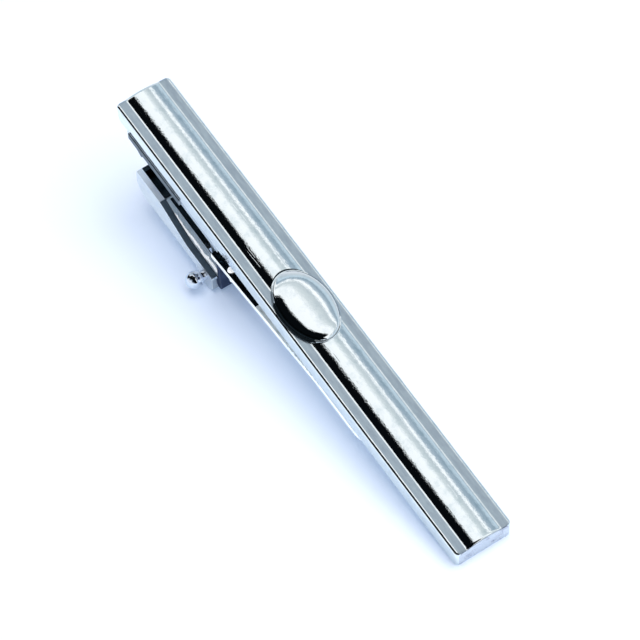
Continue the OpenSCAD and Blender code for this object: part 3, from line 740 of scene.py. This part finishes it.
def makeJaw():
    horn, bend, tip, flat, thick = arm["riser"] - jaw["horn"], jaw["bend"], jaw["tip"], jaw["flat"], jaw["sheet"]
    outline = roundOff([(horn, underJaw(horn), 0.2), (bend, flat, 2.0), (tip, flat), (tip, flat + thick),
                        (bend, flat + thick, 2.0), (jaw["dark"], underJaw(jaw["dark"]) + thick),
                        (horn, underJaw(horn) + thick, 0.2)])
    strip = cutSheet("jawStrip", outline, -jaw["half"], jaw["half"])
    softenEdges(strip, jaw["polish"], 5)
    for low in (-jaw["half"], jaw["half"] - jaw["toothWide"]):
        start, end = jaw["serrated"], jaw["serrated"] + jaw["pitch"] * jaw["teeth"]
        teeth = [(start, jawTop(start) - 0.3)]
        for tooth in range(jaw["teeth"]):
            x = start + jaw["pitch"] * tooth
            middle = x + jaw["pitch"] / 2
            teeth += [(x, jawTop(x)), (middle, jawTop(middle) + jaw["tooth"])]
        teeth += [(end, jawTop(end)), (end, jawTop(end) - 0.3)]
        combine(strip, cutSheet("teeth", teeth, low, low + jaw["toothWide"]), "UNION")
    reach = jaw["tip"] - jaw["round"]
    plan = [(horn - 1.0, -jaw["half"] - 0.001), (jaw["round"], -jaw["half"] - 0.001)]
    plan += [(jaw["round"] + reach * math.cos(math.radians(a)), jaw["half"] * math.sin(math.radians(a)))
             for a in range(-84, 85, 6)]
    plan += [(jaw["round"], jaw["half"] + 0.001), (horn - 1.0, jaw["half"] + 0.001)]
    combine(strip, cutSheet("plan", plan, -8.0, 1.0, "XY"), "INTERSECT")
    notch = arm["railIn"]
    combine(strip, block("notch", (horn - 1.0, -notch, -8.0), (arm["riser"], notch, 0.0)))
    softenEdges(strip, jaw["edges"])
    # Painted shade on the jaw's upper face near its root; the rest of the upper face and the long edges glow as
    # painted light and painted highlights.
    dress(strip, "sheet")
    darkEnd = jaw["dark"] + 0.3
    paint(strip, "inside", lambda place, normal: normal.z > 0.5 and place.x < darkEnd)
    paint(strip, "upperJawPaintedLight", lambda place, normal: normal.z > 0.5 and place.x >= darkEnd)
    paint(strip, "rim", lambda place, normal: abs(normal.y) > 0.3 and abs(place.y) > jaw["half"] - jaw["polish"]
          and normal.z < 0.8)
    finish(strip, ["jaw_strip"], "lever")


def makeStuds():
    x = arm["riser"] + jaw["stud"]
    head = [(jaw["headRadius"] * math.cos(math.radians(a)), jaw["sheet"] + 0.34 * math.sin(math.radians(a)))
            for a in range(0, 91, 9)]
    steps = [(jaw["headRadius"] - 0.05, -0.84), (jaw["headRadius"], -0.79), (jaw["headRadius"], -0.62),
             (jaw["studRadius"], -0.62), (jaw["studRadius"], jaw["sheet"] + 0.01)] + head
    studs = []
    for side in (-1.0, 1.0):
        stud = turn("jawStuds", steps, 32)
        shift(stud, (x, side * jaw["studOut"], underJaw(x)), "Y", -math.degrees(math.atan(jawSlope())))
        studs.append(stud)
    pair = joinAll(studs)
    # the stud heads glow along their band: a painted highlight
    dress(pair, "glint")
    finish(pair, ["jaw_rivets"], "lever")


makeArm()
makeJaw()
makeStuds()

# Rivets that hold the bracket
rivets = {"x": (-22.6, -20.4), "head": 0.9, "shank": 0.5, "drop": 0.9, "thick": 0.35}


def makeRivets():
    top = -rivets["drop"] - 0.01
    steps = [(rivets["shank"], 0.85), (rivets["shank"], top)]
    steps += [(rivets["head"] * math.cos(math.radians(a)), top - rivets["thick"] * math.sin(math.radians(a)))
              for a in range(0, 91, 10)]
    made = []
    for x in rivets["x"]:
        rivet = turn("bracketRivets", steps, 40)
        shift(rivet, (x, 0.0, 0.0))
        made.append(rivet)
    pair = joinAll(made)
    dress(pair, "stud")
    finish(pair, ["bracket_rivets"], "front")


makeRivets()

# Torsion spring, as a wire along a path
spring = {
    "wire": 0.35, "radius": 0.95, "turns": 2, "lean": 60.0, "foot": 0.9, "short": 4.0,
    "rise": 0.765, "pad": -2.6, "earIn": 1.3, "play": 0.08, "gap": 0.02, "stepsPerTurn": 28,
}


def makeSpring():
    start = 270.0 - spring["lean"]
    lean = math.degrees(math.asin((spring["rise"] - spring["radius"]) / -spring["pad"]))
    end = 90.0 - lean
    sweep = 360.0 * spring["turns"] + (end - start if end > start else 360.0 + end - start)
    length = 2 * (spring["earIn"] - spring["play"]) - spring["wire"]
    count = math.ceil(spring["stepsPerTurn"] * sweep / 360.0)
    points = []
    for step in range(count + 1):
        angle = math.radians(start + sweep * step / count)
        points.append((spring["radius"] * math.cos(angle), length / 2 - length * step / count,
                       spring["radius"] * math.sin(angle)))
    legLean = math.radians(spring["lean"])
    under = -bracket["sheet"] - spring["wire"] / 2 - spring["gap"] - hinge["z"]
    leg = (under - points[0][2]) / math.sin(legLean)
    top = (points[0][0] - leg * math.cos(legLean), points[0][1], points[0][2] + leg * math.sin(legLean))
    points = [(top[0] - spring["foot"], top[1], top[2]), top] + points
    points += [(spring["pad"], -length / 2, spring["rise"]),
               (spring["pad"] - spring["short"], -length / 2, spring["rise"])]
    curve = bpy.data.curves.new("torsionSpring", "CURVE")
    curve.dimensions = "3D"
    curve.bevel_depth = spring["wire"] / 2
    curve.bevel_resolution = 5
    curve.use_fill_caps = True
    line = curve.splines.new("POLY")
    line.points.add(len(points) - 1)
    for point, place in zip(line.points, points):
        point.co = (place[0] + hinge["x"], place[1], place[2] + hinge["z"], 1.0)
    wire = bpy.data.objects.new("torsionSpring", curve)
    bpy.context.scene.collection.objects.link(wire)
    pick(wire)
    bpy.ops.object.convert(target="MESH")
    wire = bpy.context.active_object
    wire.name = "torsionSpring"
    faceOut(wire)
    dress(wire, "wire")
    finish(wire, ["torsion_spring"], None, 60.0)
    # the wire is left on no body; the half-length to the leg ends is worked out but not used
    side = (length / 2 - spring["wire"] / 2) * mm
    -side
    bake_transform(wire)


makeSpring()
print("pieces made")

# Floor, tilted because the clip lies on its jaw side
floor = {
    "touch": (30.2, 0.0), "rest": (-13.2, -9.8), "gap": 0.02, "size": 3000.0,
    "paint": (0.84, 0.86, 0.9), "fibrePaint": (0.7, 0.74, 0.8), "fibres": 0.06,
    "shinyPaint": (0.82, 0.92, 1.0), "lift": (0.13, 0.19, 0.29), "shinyLift": 0.25,
}


def makeFloor():
    nearX, nearZ = floor["touch"]
    farX, farZ = floor["rest"]
    slope = math.atan2(nearZ - farZ, nearX - farX)
    deselect()
    bpy.ops.mesh.primitive_plane_add(size=floor["size"])
    plane = bpy.context.active_object
    plane.name = "floor"
    shift(plane, (0.0, 0.0, 0.0), "Y", -math.degrees(slope))
    shift(plane, (farX, 0.0, farZ - floor["gap"]))
    plane.data.transform(Matrix.Scale(mm, 4))
    material = bpy.data.materials.new("floorPaper")
    tree = Tree(material)
    path = tree.node("ShaderNodeLightPath", {}, {}, "Is Camera Ray")
    shiny = tree.node("ShaderNodeLightPath", {}, {}, "Is Glossy Ray")
    fibres = tree.noise(**noises["fibres"]) * floor["fibres"]
    paper = tree.mixColours(fibres, opaque(floor["paint"]), opaque(floor["fibrePaint"]))
    diffuse = tree.node("ShaderNodeBsdfDiffuse", {}, {
        "Color": tree.mixColours(shiny, paper, opaque(floor["shinyPaint"]))})
    glow = tree.node("ShaderNodeEmission", {}, {
        "Color": opaque(floor["lift"]), "Strength": path + shiny * floor["shinyLift"]})
    both = tree.node("ShaderNodeAddShader", {}, {0: diffuse, 1: glow})
    tree.node("ShaderNodeOutputMaterial", {}, {"Surface": both})
    plane.data.materials.append(material)


makeFloor()

# Surroundings: bands of white, grey and black round the bar's long axis, as in a light tent
bands = [  # degrees round from straight up towards +Y, and the colour there
    (-180.0, (0.75, 0.82, 0.92)),
    (-110.0, (0.8, 0.88, 0.98)),
    (-72.0, (0.9, 0.97, 1.02)),
    (-62.0, (0.4, 0.48, 0.56)),
    (-48.0, (0.002, 0.003, 0.004)),
    (-2.2, (0.002, 0.003, 0.004)),
    (-0.6, (0.95, 1.0, 1.02)),
    (14.0, (1.0, 1.05, 1.07)),
    (19.0, (0.66, 0.74, 0.77)),
    (26.0, (0.52, 0.6, 0.64)),
    (28.0, (1.05, 1.1, 1.12)),
    (30.5, (1.05, 1.1, 1.12)),
    (33.0, (0.4, 0.5, 0.58)),
    (37.5, (0.34, 0.44, 0.53)),
    (39.0, (0.28, 0.38, 0.46)),
    (41.0, (0.3, 0.4, 0.48)),
    (42.5, (0.5, 0.63, 0.72)),
    (48.0, (0.56, 0.7, 0.8)),
    (60.0, (0.55, 0.64, 0.7)),
    (90.0, (0.7, 0.76, 0.82)),
    (180.0, (0.75, 0.82, 0.92)),
]
tent = {
    "near": (0.22, 0.27, 0.36), "far": (0.42, 0.42, 0.45),  # what matt surfaces get from -Y and from +Y
    "leanAt": (-0.28, 0.1, 0.15, 0.35), "lean": 14.0,  # where along X the bands lean, and by how many degrees
    "backAt": (-0.85, -0.55), "back": 42.0,  # beyond this they lean the other way, for the oval's far end
}


def makeWorld():
    world = bpy.data.worlds.new("lightTent")
    bpy.context.scene.world = world
    tree = Tree(world)
    way = tree.coordinates("Generated")
    x, y, z = [tree.axis(way, index) for index in range(3)]
    start, full, back, end = tent["leanAt"]
    lean = (tree.smooth(x, start, full) - tree.smooth(x, back, end)) * (tent["lean"] / 360.0)
    lean = lean - (1.0 - tree.smooth(x, tent["backAt"][0], tent["backAt"][1])) * (tent["back"] / 360.0)
    angle = y.maths("ARCTAN2", z) / (2 * math.pi) + 0.5 - lean
    stops = [(0.5 + degrees / 360.0, colour) for degrees, colour in bands]
    glow = tree.node("ShaderNodeValToRGB", {"stops": stops}, {"Fac": angle})
    soft = tree.node("ShaderNodeLightPath", {}, {}, "Is Diffuse Ray")
    seen = tree.node("ShaderNodeLightPath", {}, {}, "Is Camera Ray")
    side = tree.smooth(y, -1.0, 1.0)
    glow = tree.mixColours(soft, glow, tree.mixColours(side, opaque(tent["near"]), opaque(tent["far"])))
    glow = tree.mixColours(seen, glow, opaque((1.0, 1.0, 1.0)))
    shader = tree.node("ShaderNodeBackground", {}, {"Color": glow, "Strength": 1.0})
    tree.node("ShaderNodeOutputWorld", {}, {"Surface": shader})


makeWorld()

lamps = [
    {"name": "keyLamp", "place": (0.05, 0.14, 0.78), "size": 0.75, "power": 6.2, "colour": (1.0, 1.0, 1.0)},
]


def makeLamps():
    for lamp in lamps:
        data = bpy.data.lights.new(lamp["name"], "AREA")
        data.shape = "DISK"
        data.size = lamp["size"]
        data.energy = lamp["power"]
        data.color = lamp["colour"]
        made = bpy.data.objects.new(lamp["name"], data)
        bpy.context.scene.collection.objects.link(made)
        place = Vector(lamp["place"])
        made.matrix_world = Matrix.Translation(place) @ (-place).to_track_quat("-Z", "Y").to_matrix().to_4x4()
        made.visible_glossy = False


makeLamps()
bpy.context.scene.view_settings.view_transform = "Standard"
print("floor, surroundings and lamps made")
